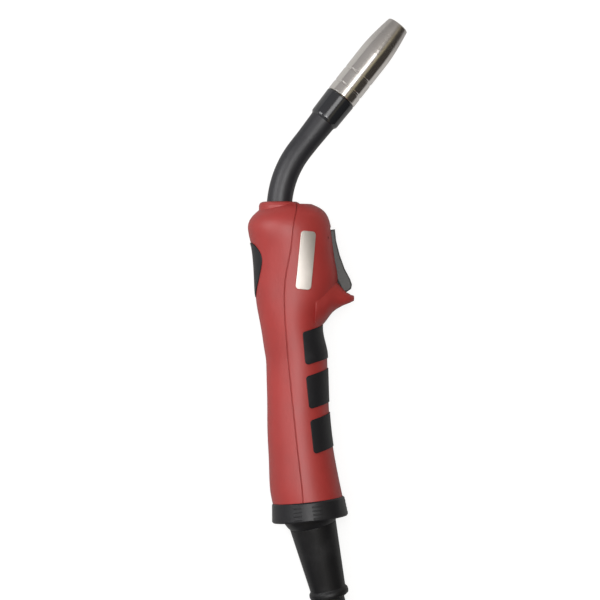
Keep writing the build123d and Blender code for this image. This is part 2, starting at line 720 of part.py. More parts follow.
def neck_block():
    """Brass connector block that the neck screws into."""
    return turned(NECK_AXIS, [
        (-NUT_END - 0.1, CONDUCTOR_RADIUS + FIT), (-NUT_END - 0.1, BLOCK_RADIUS),
        (-BLOCK_END, BLOCK_RADIUS), (-BLOCK_END, CONDUCTOR_BORE),
        (-CONDUCTOR_END - FIT, CONDUCTOR_BORE), (-CONDUCTOR_END - FIT, CONDUCTOR_RADIUS + FIT)])


def cable_ferrule():
    """Crimped sleeve on the cable core."""
    socket = FERRULE_END - CORE_INSERT - FIT
    return turned(NECK_AXIS, [
        (-BLOCK_END - FIT, CONDUCTOR_BORE), (-BLOCK_END - FIT, FERRULE_RADIUS),
        (-FERRULE_END, FERRULE_RADIUS), (-FERRULE_END, CORE_RADIUS + FIT),
        (-socket, CORE_RADIUS + FIT), (-socket, CONDUCTOR_BORE)])


def cable_core():
    """Stripped cable inside the handle, from the ferrule to the ball."""
    start = FOOT - NECK_DIR * (FERRULE_END - CORE_INSERT)
    points = [start, FOOT - NECK_DIR * (FERRULE_END + CORE_STRAIGHT)]
    points += [Vector(x, y, 0) for x, y in CORE_POINTS]
    points += [END_DIR * CORE_END_STRAIGHT, END_DIR * CORE_END]
    return cable_tube(points, CORE_RADIUS, "cable_core")


def neck_o_ring():
    section = O_RING_GROOVE / 2
    return NECK_AXIS.location * Pos(0, 0, -O_RING_DEPTH) * Torus(NECK_RADIUS + section, section - 0.05)


# ---- consumables


def nozzle_skin(station, wall):
    """Radius of the nozzle at a station, less a wall: a cylinder that curves in to the mouth."""
    share = max(0.0, (station - NOZZLE_CYLINDER) / (NOZZLE_LENGTH - NOZZLE_CYLINDER))
    return NOZZLE_RADIUS - wall - share ** NOZZLE_CURVE * (NOZZLE_RADIUS - NOZZLE_TIP_RADIUS)


def gas_nozzle():
    """Drawn copper nozzle, plated, with a curved mouth and two turned grooves."""
    outline = [(GAP, nozzle_skin(0, NOZZLE_WALL)), (GAP, NOZZLE_RADIUS - 0.4),
               (GAP + 0.4, NOZZLE_RADIUS)]
    for groove in NOZZLE_GROOVES:
        outline += [(groove - 0.8, NOZZLE_RADIUS), (groove - 0.4, NOZZLE_RADIUS - GROOVE_DEPTH),
                    (groove + 0.4, NOZZLE_RADIUS - GROOVE_DEPTH), (groove + 0.8, NOZZLE_RADIUS)]
    step = (NOZZLE_LENGTH - NOZZLE_CYLINDER) / NOZZLE_STEPS
    curve = [NOZZLE_CYLINDER + index * step for index in range(NOZZLE_STEPS + 1)]
    outline += [(station, nozzle_skin(station, 0)) for station in curve[:-1]]
    outline += [(NOZZLE_LENGTH - 0.4, nozzle_skin(NOZZLE_LENGTH - 0.4, 0)),
                (NOZZLE_LENGTH, NOZZLE_TIP_RADIUS - 0.4)]
    outline += [(station, nozzle_skin(station, NOZZLE_WALL)) for station in reversed(curve)]
    return turned(FRONT_AXIS, outline)


def nozzle_insulator():
    radius = nozzle_skin(0, NOZZLE_WALL)
    return barrel(FRONT_AXIS, GAP + 0.2, INSULATOR_END, radius, radius - INSULATOR_WALL)


def nozzle_bush():
    radius = nozzle_skin(0, NOZZLE_WALL) - INSULATOR_WALL
    return barrel(FRONT_AXIS, GAP + 0.4, INSULATOR_END - 2, radius, INNER_BUSH_RADIUS)


def tip_holder():
    """Brass holder with four gas holes and a thread for the tip."""
    holder = turned(FRONT_AXIS, [
        (HOLDER_START, CONDUCTOR_BORE), (HOLDER_START, HOLDER_RADIUS),
        (HOLDER_END - 1, HOLDER_RADIUS), (HOLDER_END, HOLDER_RADIUS - 1),
        (HOLDER_END, TIP_THREAD_RADIUS), (TIP_THREAD_START - 0.5, TIP_THREAD_RADIUS),
        (TIP_THREAD_START - 0.5, CONDUCTOR_BORE)])
    for turn in (45, 135):
        drill = Rot(0, 0, turn) * Rot(90, 0, 0) * Cylinder(GAS_HOLE_RADIUS, 30)
        holder = holder - FRONT_AXIS.location * Pos(0, 0, GAS_HOLES_AT) * drill
    return holder


def contact_tip():
    """Copper contact tip with its wire bore."""
    return turned(FRONT_AXIS, [
        (TIP_THREAD_START, TIP_BORE), (TIP_THREAD_START, TIP_THREAD_RADIUS - RUNNING_FIT),
        (HOLDER_END + FIT, TIP_THREAD_RADIUS - RUNNING_FIT), (HOLDER_END + FIT, TIP_RADIUS),
        (TIP_END - 5, TIP_RADIUS), (TIP_END - 0.6, TIP_RADIUS - 0.9), (TIP_END, TIP_RADIUS - 1.4),
        (TIP_END, TIP_BORE)])


def nozzle_spring():
    return spring(FRONT_AXIS, 1.6, 12.0, SPRING_RADIUS, SPRING_WIRE, 5)


# ---- trigger and switch


def trigger():
    """Moulded trigger: hollow at the back, with pivot ears and a rib for the switch."""
    face = make_face(Polyline(*TRIGGER_OUTLINE, close=True))
    rounded = fillet(face.vertices().sort_by(Axis.X)[-5:], 0.9)
    body = Pos(0, 0, -TRIGGER_HALF) * extrude(rounded, 2 * TRIGGER_HALF)
    front_edges = body.edges().filter_by_position(Axis.Z, TRIGGER_HALF - 0.01, TRIGGER_HALF + 0.01)
    back_edges = body.edges().filter_by_position(Axis.Z, -TRIGGER_HALF - 0.01, -TRIGGER_HALF + 0.01)
    body = chamfer(front_edges + back_edges, TRIGGER_BEVEL)
    hollow = [(x - TRIGGER_WALL * 1.15, y) for x, y in TRIGGER_OUTLINE[2:7]]
    hollow = [(10.6, 150.0)] + hollow + TRIGGER_BACK
    hollow_half = TRIGGER_HALF - TRIGGER_WALL
    body = body - prism(hollow, -hollow_half, hollow_half)
    rib = [(PLUNGER_TIP + 0.2, PLUNGER_Y + 1.6), (PLUNGER_TIP + 0.2, PLUNGER_Y - 1.6),
           (16.0, PLUNGER_Y - 1.6), (15.4, PLUNGER_Y + 1.6)]
    body = body + prism(rib, -hollow_half, hollow_half)
    pad_rib = [(RETURN_SPRING_END + 0.1, SPRING_Y - 2.9), (20.6, SPRING_Y - 2.9),
               (19.6, SPRING_Y + 2.9), (RETURN_SPRING_END + 0.1, SPRING_Y + 2.9)]
    body = body + prism(pad_rib, -hollow_half, hollow_half)
    return body - Pos(PIVOT[0], PIVOT[1], 0) * Cylinder(PIN_RADIUS + 0.06, 40)


def trigger_pin():
    return Pos(PIVOT[0], PIVOT[1], 0) * Cylinder(PIN_RADIUS, 2 * PIN_HALF)


def switch_body():
    """Snap-action microswitch with a guide hole for its plunger."""
    middle = (SWITCH_REAR + SWITCH_FRONT) / 2
    case = Pos(middle, SWITCH_LOW + SWITCH_LENGTH / 2, 0) * Box(
        SWITCH_FRONT - SWITCH_REAR, SWITCH_LENGTH, SWITCH_WIDTH)
    case = chamfer(case.edges().filter_by(Axis.Z), 0.5)
    hole = Pos(SWITCH_FRONT, PLUNGER_Y, 0) * Rot(0, 90, 0) * Cylinder(PLUNGER_RADIUS + FIT, 8)
    return case - hole


def switch_plunger():
    """Button of the microswitch."""
    length = PLUNGER_TIP - SWITCH_FRONT + 1.8
    return Pos(PLUNGER_TIP - length / 2, PLUNGER_Y, 0) * Rot(0, 90, 0) * Cylinder(
        PLUNGER_RADIUS, length)


def switch_terminals():
    blade = Box(4.4, 0.8, 3.0)
    return Compound([Pos(SWITCH_REAR - 2.2, SWITCH_LOW + 3, z) * blade for z in (3.2 - 1.7, -1.5)])


def switch_carrier():
    """Plate that clips the switch between the shells, with a peg for the return spring."""
    middle = SWITCH_REAR - CARRIER_THICKNESS / 2
    plate = Pos(middle, 138.5, 0) * Box(CARRIER_THICKNESS - 0.1, 33, 60)
    plate = plate & handle_body(WALL + 0.1)
    slots = Pos(middle, SWITCH_LOW + 3, 0) * Box(10, 2, 8)
    peg = Pos(SWITCH_REAR + 1, SPRING_Y, 0) * Rot(0, 90, 0) * Cylinder(1.6, 4)
    return plate - slots + peg


def trigger_spring():
    axis = Plane(origin=(0, SPRING_Y, 0), z_dir=(1, 0, 0))
    wire = RETURN_SPRING_WIRE
    return spring(axis, SWITCH_REAR + wire + 0.1, RETURN_SPRING_END - wire, RETURN_SPRING_RADIUS,
                  wire, 7)


def switch_leads():
    """Two wires from the switch down to their splices."""
    wires = []
    for side in (1, -1):
        points = [Vector(-10.4, SWITCH_LOW + 2.4, 1.5 * side), Vector(-10.4, 124, 3.4 * side),
                  Vector(-9.2, 110, 3.6 * side), Vector(-9.0, 90, 6.4 * side)]
        wires.append(swept(FilletPolyline(*points, radius=8), 0.75))
    return Compound(wires)


def lead_splices():
    return Compound([Pos(-9.0, 83.8, 6.6 * side) * Rot(90, 0, 0) * Cylinder(1.5, 12)
                     for side in (1, -1)])


# ---- central plug


def plug_boot():
    """Bend relief, with a flange that the housing halves clamp."""
    return turned(PLUG_AXIS, [
        (0, CABLE_BORE), (0, PLUG_BOOT_RADIUS - 1), (1, PLUG_BOOT_RADIUS),
        (HOUSING_START + 1.7, PLUG_BOOT_BASE), (HOUSING_START + 1.7, PLUG_BOOT_FLANGE),
        (PLUG_BOOT_END, PLUG_BOOT_FLANGE), (PLUG_BOOT_END, CABLE_BORE)])


def plug_shell():
    """Both plug housing halves in one piece."""
    mouth = PLUG_BOOT_BASE + 0.2
    seat = PLUG_BOOT_FLANGE + 0.2
    shell = turned(PLUG_AXIS, [
        (HOUSING_START, mouth), (HOUSING_START, mouth + 2.2), (HOUSING_START + 3, mouth + 3.8),
        (HOUSING_START + 14, HOUSING_RADIUS - 0.6), (HOUSING_END - 12, HOUSING_RADIUS),
        (HOUSING_END, HOUSING_RADIUS), (HOUSING_END, FLANGE_HUB + FIT),
        (HOUSING_END - 4, FLANGE_HUB + FIT), (HOUSING_END - 4, HOUSING_RADIUS - HOUSING_WALL),
        (HOUSING_START + 14, HOUSING_RADIUS - HOUSING_WALL), (PLUG_BOOT_END + 2, seat),
        (HOUSING_START + 1.5, seat), (HOUSING_START + 1.5, mouth)])
    solid = turned(PLUG_AXIS, [(HOUSING_START, 0), (HOUSING_START, mouth + 0.2),
                               (HOUSING_START + 3, mouth + 2.8),
                               (HOUSING_START + 14, HOUSING_RADIUS - 1.6),
                               (HOUSING_END - 4, HOUSING_RADIUS - 1), (HOUSING_END - 4, 0)])
    for station in PLUG_SCREWS:
        for side in (1, -1):
            post = plug_screw_axis(station, side) * Cylinder(PLUG_POST_RADIUS, 60)
            shell = shell + (post & solid)
    for station in PLUG_SCREWS:
        for side in (1, -1):
            hole = Cylinder(PLUG_SCREW_RADIUS + RUNNING_FIT, 60)
            shell = shell - plug_screw_axis(station, side) * hole
            sink = Cylinder(PLUG_SCREW_HEAD + 0.2, 40, align=(Align.CENTER, Align.CENTER, Align.MIN))
            shell = shell - plug_screw_axis(station, side) * Pos(0, 0, PLUG_SCREW_SEAT) * sink
    return shell - barrel(PLUG_AXIS, HOUSING_START + 4, CRIMP_END, CRIMP_RADIUS + 0.5)


def plug_screw_axis(station, side):
    """Place of one housing screw, with Z straight up."""
    x = PLUG_MOUTH[0] - station
    return Pos(x, PLUG_MOUTH[1] + side * PLUG_SCREWS[station], FLOOR + NUT_RADIUS)


def plug_half(upper):
    half = Pos(PLUG_MOUTH[0], PLUG_MOUTH[1], FLOOR + NUT_RADIUS) * Box(
        BIG, BIG, BIG, align=(Align.CENTER, Align.CENTER, Align.MIN if upper else Align.MAX))
    return largest(plug_shell() & half)


def plug_screws():
    seat = PLUG_SCREW_SEAT + 0.05
    shank = Pos(0, 0, -1) * Cylinder(PLUG_SCREW_RADIUS, 17.6)
    head = Pos(0, 0, seat) * Cylinder(PLUG_SCREW_HEAD, 2.0, align=(Align.CENTER, Align.CENTER, Align.MIN))
    screw = shank + head - Pos(0, 0, seat + 2.0) * cross_recess(3.0, 1.1)
    return Compound([plug_screw_axis(station, side) * screw
                     for station in PLUG_SCREWS for side in (1, -1)])


def plug_crimp():
    return barrel(PLUG_AXIS, CRIMP_START, CRIMP_END, CRIMP_RADIUS, CONDUCTOR_BORE)


def plug_body():
    """Brass conductor through the plug, ending in the gas spigot."""
    groove = O_RING_SECTION + 0.05
    return turned(PLUG_AXIS, [
        (CRIMP_END + FIT, CONDUCTOR_BORE), (CRIMP_END + FIT, 9.0), (FLANGE_BACK - FIT, 9.0),
        (FLANGE_BACK - FIT, PLUG_BORE_RADIUS), (FLANGE_FRONT, PLUG_BORE_RADIUS),
        (FLANGE_FRONT, SPIGOT_PIN_RADIUS),
        (O_RING_AT - groove, SPIGOT_PIN_RADIUS), (O_RING_AT - groove, SPIGOT_PIN_RADIUS - 2 * groove),
        (O_RING_AT + groove, SPIGOT_PIN_RADIUS - 2 * groove), (O_RING_AT + groove, SPIGOT_PIN_RADIUS),
        (PLUG_LENGTH - 1.5, SPIGOT_PIN_RADIUS), (PLUG_LENGTH, SPIGOT_PIN_RADIUS - 1.5),
        (PLUG_LENGTH, CONDUCTOR_BORE)])


def plug_flange():
    """Insulating front of the plug, which carries the nut and the control pins."""
    flange = turned(PLUG_AXIS, [
        (FLANGE_BACK, PLUG_BORE_RADIUS + FIT), (FLANGE_BACK, FLANGE_HUB), (FLANGE_STEP, FLANGE_HUB),
        (FLANGE_STEP, FLANGE_RADIUS), (FLANGE_STEP_END, FLANGE_RADIUS),
        (FLANGE_STEP_END, FLANGE_NOSE), (FLANGE_FRONT - 0.6, FLANGE_NOSE),
        (FLANGE_FRONT, FLANGE_NOSE - 0.6), (FLANGE_FRONT, PLUG_BORE_RADIUS + FIT)])
    for side in (1, -1):
        hole = barrel(pin_axis(side), CONTROL_PIN_START - CONTROL_PIN_TRAVEL - 0.5,
                      FLANGE_FRONT + 1, CONTROL_PIN_RADIUS + FIT)
        flange = flange - hole
    return flange


def pin_axis(side):
    """Axis of one control pin, beside the spigot."""
    origin = PLUG_AXIS.origin + Vector(0, side * CONTROL_PIN_OFFSET, 0)
    return Plane(origin=origin, x_dir=PLUG_AXIS.x_dir, z_dir=PLUG_AXIS.z_dir)


def control_pin(side):
    """Sprung contact pin with a rounded end."""
    end = CONTROL_PIN_END
    return turned(pin_axis(side), [
        (CONTROL_PIN_START, 0), (CONTROL_PIN_START, CONTROL_PIN_RADIUS),
        (end - 0.8, CONTROL_PIN_RADIUS), (end, CONTROL_PIN_RADIUS - 0.8), (end, 0)])


def plug_nut():
    """Knurled union nut that turns on the flange."""
    ring = turned(PLUG_AXIS, [
        (PLUG_NUT_START, FLANGE_HUB + GAP), (PLUG_NUT_START, NUT_RADIUS - 1),
        (PLUG_NUT_START + 1, NUT_RADIUS), (PLUG_NUT_END - 1, NUT_RADIUS),
        (PLUG_NUT_END, NUT_RADIUS - 1), (PLUG_NUT_END, FLANGE_RADIUS + GAP),
        (FLANGE_STEP - GAP, FLANGE_RADIUS + GAP), (FLANGE_STEP - GAP, FLANGE_HUB + GAP)])
    for index in range(NUT_GROOVES):
        turn = Rot(0, 0, 360 * (index + 0.5) / NUT_GROOVES)
        notch = Pos(NUT_RADIUS + 0.9, 0, PLUG_NUT_START + 12) * Cylinder(2.2, 30)
        ring = ring - PLUG_AXIS.location * turn * notch
    return ring


def plug_o_ring():
    return PLUG_AXIS.location * Pos(0, 0, O_RING_AT) * Torus(
        SPIGOT_PIN_RADIUS - O_RING_SECTION - 0.02, O_RING_SECTION)


# ---- all nodes

HANDLE = {
    "front_shell": front_shell(), "rear_shell": rear_shell(),
    "thumb_pad": pad(thumb_region()), "name_plate": name_plate(), "shell_screws": shell_screws(),
    "lock_collar": lock_collar(), "ball_cage": ball_cage(), "trigger_pin": trigger_pin(),
    "switch_body": switch_body(), "switch_terminals": switch_terminals(),
    "switch_carrier": switch_carrier(), "switch_leads": switch_leads(),
    "lead_splices": lead_splices(), "neck_insulation": neck_insulation(),
    "neck_conductor": neck_conductor(), "neck_bush": neck_bush(), "neck_nut": neck_nut(),
    "neck_block": neck_block(), "neck_o_ring": neck_o_ring(), "wire_liner": wire_liner(),
    "cable_ferrule": cable_ferrule(), "cable_core": cable_core(), "tip_holder": tip_holder(),
    "contact_tip": contact_tip(), "nozzle_spring": nozzle_spring(),
}
for name, corners in PADS.items():
    HANDLE[name] = pad(pad_region(corners))
MOVING = {
    "trigger": trigger(), "switch_plunger": switch_plunger(), "trigger_spring": trigger_spring(),
    "gas_nozzle": gas_nozzle(), "nozzle_insulator": nozzle_insulator(),
    "nozzle_bush": nozzle_bush(), "ball_liner": ball_liner(),
}
CABLE_SIDE = {"knuckle_ball": knuckle_ball(), "cable_boot": cable_boot()}
CORD = {
    "cable_root": cable_root(), "cable_lead": cable_lead(), "cable_coil": coil_ring(0),
    "cable_tail": cable_tail(), "coil_ties": coil_ties(), "plug_boot": plug_boot(),
    "plug_housing_upper": plug_half(True), "plug_housing_lower": plug_half(False),
    "plug_screws": plug_screws(), "plug_crimp": plug_crimp(), "plug_body": plug_body(),
    "plug_flange": plug_flange(), "plug_o_ring": plug_o_ring(), "plug_nut": plug_nut(),
    "control_pin_a": control_pin(1), "control_pin_b": control_pin(-1),
}

torch = Compound([*HANDLE.values(), *MOVING.values(), *CABLE_SIDE.values()]).bounding_box()
shift = Pos(-(torch.min.X + torch.max.X) / 2, -(torch.min.Y + torch.max.Y) / 2, -FLOOR)
print("torch box", torch.size, "ball centre in the row frame", shift.position)
for name, shape in {**HANDLE, **MOVING, **CABLE_SIDE, **CORD}.items():
    export_step(shift * shape, f"parts/{name}.step")
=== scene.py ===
import json

import bpy
import numpy as np
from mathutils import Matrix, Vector


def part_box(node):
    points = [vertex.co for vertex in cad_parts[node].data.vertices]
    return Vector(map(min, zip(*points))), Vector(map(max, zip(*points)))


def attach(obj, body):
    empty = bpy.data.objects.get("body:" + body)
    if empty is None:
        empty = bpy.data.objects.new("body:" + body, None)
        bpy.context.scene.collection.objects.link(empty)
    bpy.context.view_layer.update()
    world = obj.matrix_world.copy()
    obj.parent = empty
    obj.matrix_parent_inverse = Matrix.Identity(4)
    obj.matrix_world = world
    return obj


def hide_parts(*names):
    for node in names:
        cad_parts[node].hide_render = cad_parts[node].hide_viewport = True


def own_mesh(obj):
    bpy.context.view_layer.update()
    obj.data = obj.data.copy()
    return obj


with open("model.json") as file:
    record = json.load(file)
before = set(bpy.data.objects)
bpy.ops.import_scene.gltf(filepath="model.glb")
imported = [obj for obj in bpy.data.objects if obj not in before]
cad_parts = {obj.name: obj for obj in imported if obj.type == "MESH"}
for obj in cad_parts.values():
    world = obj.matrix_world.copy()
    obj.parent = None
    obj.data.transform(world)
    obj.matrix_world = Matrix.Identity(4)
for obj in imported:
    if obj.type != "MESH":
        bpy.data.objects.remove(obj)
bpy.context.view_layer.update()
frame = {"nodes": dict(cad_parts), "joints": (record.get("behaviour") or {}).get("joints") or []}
nodes = frame["nodes"]
MM = 0.001

# ---- Handle shells ----------------------------------------------------------------------------
# Two injection-moulded shells of red glass-filled nylon, split along a groove down the flank and
# screwed together. Their skin has the fine spark-eroded grain of the mould, polished at the edges.


class Wire:
    """An output socket of a finish; arithmetic on it adds Math nodes."""

    def __init__(self, finish, socket):
        self.finish, self.socket = finish, socket

    def math(self, operation, *others):
        sockets = dict(enumerate((self,) + others))
        return self.finish.node("Math", {"operation": operation}, sockets)

    def __add__(self, other):
        return self.math("ADD", other)

    def __sub__(self, other):
        return self.math("SUBTRACT", other)

    def __mul__(self, other):
        return self.math("MULTIPLY", other)

    def __rsub__(self, other):
        return (self * -1) + other

    __radd__, __rmul__ = __add__, __mul__


class Finish:
    """One procedural material: a Principled shader, and a method that adds any other node."""

    def __init__(self, name, **sockets):
        self.material = bpy.data.materials.new(name)
        self.material.use_nodes = True
        self.tree = self.material.node_tree
        self.shader = self.tree.nodes["Principled BSDF"]
        self.set(**sockets)

    def node(self, kind, settings=None, sockets=None, output=0):
        """Adds a node: its settings first, a ramp's stops among them, then its sockets."""
        made = self.tree.nodes.new("ShaderNode" + kind)
        for key, value in (settings or {}).items():
            if key == "stops":
                self.lay_stops(made.color_ramp.elements, value)
            else:
                setattr(made, key, value)
        for key, value in (sockets or {}).items():
            self.plug(made.inputs[key], value)
        return Wire(self, made.outputs[output])

    @staticmethod
    def lay_stops(ramp, stops):
        while len(ramp) < len(stops):
            ramp.new(1.0)
        for stop, (place, colour) in zip(ramp, stops):
            stop.position = place
            stop.color = (*(colour if isinstance(colour, tuple) else (colour,) * 3), 1)

    def plug(self, socket, value):
        if isinstance(value, Wire):
            self.tree.links.new(value.socket, socket)
        elif socket.type == "RGBA":
            socket.default_value = (*value, 1)
        else:
            socket.default_value = value

    def set(self, **sockets):
        """Sets or links sockets of the shader; underscores in a name stand for spaces."""
        for name, value in sockets.items():
            self.plug(self.shader.inputs[name.replace("_", " ")], value)

    def noise(self, scale, detail=2.0, roughness=0.5, stretch=None):
        """Noise in object space: scale in cycles a metre, stretched along the axes if asked."""
        place = self.node("TexCoord", output="Object")
        if stretch is not None:
            place = self.node("Mapping", sockets={"Vector": place, "Scale": stretch})
        return self.node("TexNoise", sockets={"Vector": place, "Scale": scale, "Detail": detail,
                                              "Roughness": roughness})

    def ramp(self, value, *stops):
        return self.node("ValToRGB", {"stops": stops}, {"Fac": value})

    def blend(self, share, first, second):
        """Colour that goes from first to second."""
        return self.node("Mix", {"data_type": "RGBA"}, {0: share, 6: first, 7: second}, output=2)

    def bump(self, height, distance, strength=1.0, normal=None):
        sockets = {"Height": height, "Distance": distance, "Strength": strength}
        if normal is not None:
            sockets["Normal"] = normal
        return self.node("Bump", sockets=sockets)

    def eased(self, radius):
        """Normal that rounds sharp edges over a radius."""
        return self.node("Bevel", {"samples": 6}, {"Radius": radius})

    def edges(self, radius, low=0.02, high=0.2):
        """Mask that is 1 on edges and 0 on open surface, from how far the eased normal turns."""
        flat = self.node("NewGeometry", output="True Normal")
        turn = self.node("VectorMath", {"operation": "DOT_PRODUCT"},
                         {0: self.eased(radius), 1: flat}, output="Value")
        return self.ramp(1 - turn, (low, 0.0), (high, 1.0))

    def paint(self, *names):
        """Puts the finish on CAD nodes."""
        for name in names:
            nodes[name].data.materials.clear()
            nodes[name].data.materials.append(self.material)


def moulded(name, colour, rough, grain=3600, wear=0.35, shine=0.36):
    """Moulded plastic: faint colour clouds, spark-eroded grain, and paler, shinier edges."""
    radius = 0.0004
    finish = Finish(name, Specular_IOR_Level=shine)
    cloud = finish.noise(38, 4, 0.6)
    deep, pale = (tuple(c * k for c in colour) for k in (0.93, 1.07))
    body = finish.blend(finish.ramp(cloud, (0.35, 0.0), (0.65, 1.0)), deep, pale)
    worn = tuple(min(1.0, c * 1.5 + 0.02) for c in colour)
    edge = finish.edges(radius)
    finish.set(Base_Color=finish.blend(edge * wear, body, worn),
               Roughness=rough + 0.12 * (cloud - 0.5) - 0.1 * edge,
               Normal=finish.bump(finish.noise(grain, 3, 0.6), 0.00006, 0.5, finish.eased(radius)))
    return finish


moulded("red_nylon", (0.31, 0.024, 0.021), 0.5, shine=0.6).paint("front_shell", "rear_shell")

# ---- Grips ------------------------------------------------------------------------------------
# Three pads under the fingers and one under the thumb, soft black elastomer set into recesses of
# the shells. Its surface is dull, with a fine leathery grain and a little dust in it.


def rubbery(name, colour, rough, grain=2300):
    """Soft moulded rubber: fine pebbled grain, a trace of dust, dull sheen."""
    finish = Finish(name, Specular_IOR_Level=0.3)
    pebbles = finish.node("TexVoronoi", sockets={
        "Vector": finish.node("TexCoord", output="Object"), "Scale": grain})
    dust = finish.ramp(finish.noise(70, 5, 0.65), (0.5, 0.0), (0.8, 1.0))
    dusty = tuple(c * 1.5 + 0.006 for c in colour)
    finish.set(Base_Color=finish.blend(dust, colour, dusty), Roughness=rough + 0.1 * dust,
               Normal=finish.bump(pebbles, 0.00012, 0.35, finish.eased(0.0005)))
    return finish


rubbery("grip_rubber", (0.009, 0.009, 0.011), 0.5).paint(
    "grip_pad_upper", "grip_pad_middle", "grip_pad_lower", "thumb_pad")

# ---- Name plate -------------------------------------------------------------------------------
# Thin aluminium plate with round corners, brushed lengthways and left blank. It is glued into a
# shallow recess of the front shell, and stands a little proud of it.

plate = Finish("brushed_plate", Metallic=0.9)
brushed = plate.noise(900, 5, 0.7, stretch=(6.0, 0.12, 6.0))
tarnish = plate.noise(160, 3)
plate.set(Base_Color=plate.blend(tarnish, (0.66, 0.62, 0.58), (0.56, 0.52, 0.49)),
          Roughness=0.45 + 0.18 * brushed,
          Normal=plate.bump(brushed, 0.00004, 0.5, plate.eased(0.0004)))
plate.paint("name_plate")

# ---- Trigger and switch -----------------------------------------------------------------------
# Grey acetal trigger on a blackened steel pin, pushed out by a steel spring. Behind it a black
# microswitch with a white button clips into a white carrier, and two blue wires run down from it
# to crimped splices.

moulded("trigger_grey", (0.062, 0.06, 0.059), 0.42, grain=4200).paint("trigger")
moulded("white_acetal", (0.72, 0.72, 0.68), 0.34, grain=4200).paint(
    "switch_carrier", "switch_plunger", "ball_liner")


def metallic(name, pale, deep, rough):
    """Bare or plated metal: cloudy tarnish, and machining marks as fine noise."""
    finish = Finish(name, Metallic=1.0)
    cloud = finish.ramp(finish.noise(120, 4, 0.6), (0.35, 0.0), (0.7, 1.0))
    marks = finish.noise(1500, 3, 0.6)
    finish.set(Base_Color=finish.blend(cloud, pale, deep), Roughness=rough + 0.12 * cloud * marks,
               Normal=finish.bump(marks, 0.00003, 0.3, finish.eased(0.0002)))
    return finish


metallic("zinc_steel", (0.62, 0.62, 0.6), (0.5, 0.5, 0.47), 0.28).paint(
    "trigger_spring", "shell_screws", "plug_screws", "nozzle_spring", "wire_liner")
metallic("blackened_steel", (0.055, 0.03, 0.028), (0.035, 0.02, 0.02), 0.5).paint("trigger_pin")
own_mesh(nodes["trigger_spring"])
wire_skin = Finish("wire_skin", Base_Color=(0.02, 0.07, 0.36))
stain = wire_skin.noise(400, 3)
wire_skin.set(Roughness=0.3 + 0.2 * stain, Normal=wire_skin.bump(stain, 0.0001, 0.3))
wire_skin.paint("switch_leads", "lead_splices")

# ---- Collar and ball joint --------------------------------------------------------------------
# The cable turns in a black nylon ball. A cage in the shells and a screwed collar hold it, with a
# white slippery band between. Pairs of raised bars on the collar give the fingers a grip.

moulded("black_nylon", (0.011, 0.011, 0.013), 0.42, wear=0.55, shine=0.3).paint(
    "lock_collar", "ball_cage", "knuckle_ball", "switch_body", "plug_housing_upper",
    "plug_housing_lower", "plug_nut", "plug_flange")

# ---- Boots and seals --------------------------------------------------------------------------
# Tapered black rubber boots spread the cable's bend at the ball and at the plug. The neck and the
# plug's gas spigot each have a rubber ring.

rubbery("boot_rubber", (0.007, 0.007, 0.008), 0.44, grain=1500).paint(
    "cable_boot", "plug_boot", "plug_o_ring", "neck_o_ring")

# ---- Neck -------------------------------------------------------------------------------------
# Bent copper tube in a matt black insulating sleeve, clamped by a brass nut and block inside the
# handle. A polished black bush covers its front end, up against the nozzle.

sleeve = Finish("neck_sleeve", Specular_IOR_Level=0.5)
scuffs = sleeve.noise(90, 5, 0.7)
sleeve.set(Base_Color=sleeve.blend(scuffs, (0.011, 0.011, 0.014), (0.019, 0.019, 0.023)),
           Roughness=0.36 + 0.16 * scuffs,
           Normal=sleeve.bump(sleeve.noise(1500, 4, 0.7), 0.00012, 0.35))
sleeve.paint("neck_insulation")

bush = Finish("glossy_bush", Base_Color=(0.012, 0.013, 0.016), Specular_IOR_Level=0.9)
smears = bush.noise(140, 4, 0.6)
bush.set(Roughness=0.07 + 0.08 * smears,
         Normal=bush.bump(bush.noise(700, 2), 0.00003, 0.25, bush.eased(0.0012)))
bush.paint("neck_bush")

metallic("turned_brass", (0.74, 0.53, 0.22), (0.6, 0.4, 0.15), 0.22).paint(
    "neck_nut", "neck_block", "tip_holder", "nozzle_bush", "plug_body", "control_pin_a",
    "control_pin_b", "switch_terminals")
metallic("bare_copper", (0.83, 0.42, 0.28), (0.6, 0.27, 0.17), 0.3).paint(
    "neck_conductor", "contact_tip", "cable_ferrule", "plug_crimp")

# ---- Nozzle -----------------------------------------------------------------------------------
# Copper nozzle, drawn, turned and nickel plated, pushed on over a fibre tube that insulates it.
# Fine rings from the turning tool run round it, and its mouth is dulled by heat.

low, high = (Vector(corner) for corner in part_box("gas_nozzle"))
nozzle_middle = (low + high) / 2
nozzle_dir = next(joint["axis"] for joint in frame["joints"] if joint["name"] == "nozzle_pull")

nozzle = Finish("plated_nozzle", Metallic=1.0)
station = nozzle.node("VectorMath", {"operation": "DOT_PRODUCT"}, {
    0: nozzle.node("VectorMath", {"operation": "SUBTRACT"},
                   {0: nozzle.node("TexCoord", output="Object"), 1: tuple(nozzle_middle)}),
    1: tuple(nozzle_dir)}, output="Value")
rings = nozzle.node("TexNoise", {"noise_dimensions": "1D"}, {"W": station, "Scale": 2600.0,
                                                           "Detail": 3.0})
heat = nozzle.ramp(station * 20 + 0.5, (0.62, 0.0), (1.0, 1.0))
film = nozzle.noise(55, 4, 0.6)
nozzle.set(Base_Color=nozzle.blend(heat * film, (0.74, 0.71, 0.68), (0.3, 0.28, 0.27)),
           Roughness=0.15 + 0.1 * film + 0.12 * heat,
           Normal=nozzle.bump(rings, 0.00002, 0.4, nozzle.eased(0.0001)))
nozzle.paint("gas_nozzle")

fibre = Finish("fibre_tube", Roughness=0.6)
wound = fibre.noise(700, 4, 0.6, stretch=(1, 3, 1))
fibre.set(Base_Color=fibre.blend(wound, (0.62, 0.5, 0.36), (0.45, 0.35, 0.24)),
          Normal=fibre.bump(wound, 0.00015, 0.5))
fibre.paint("nozzle_insulator")

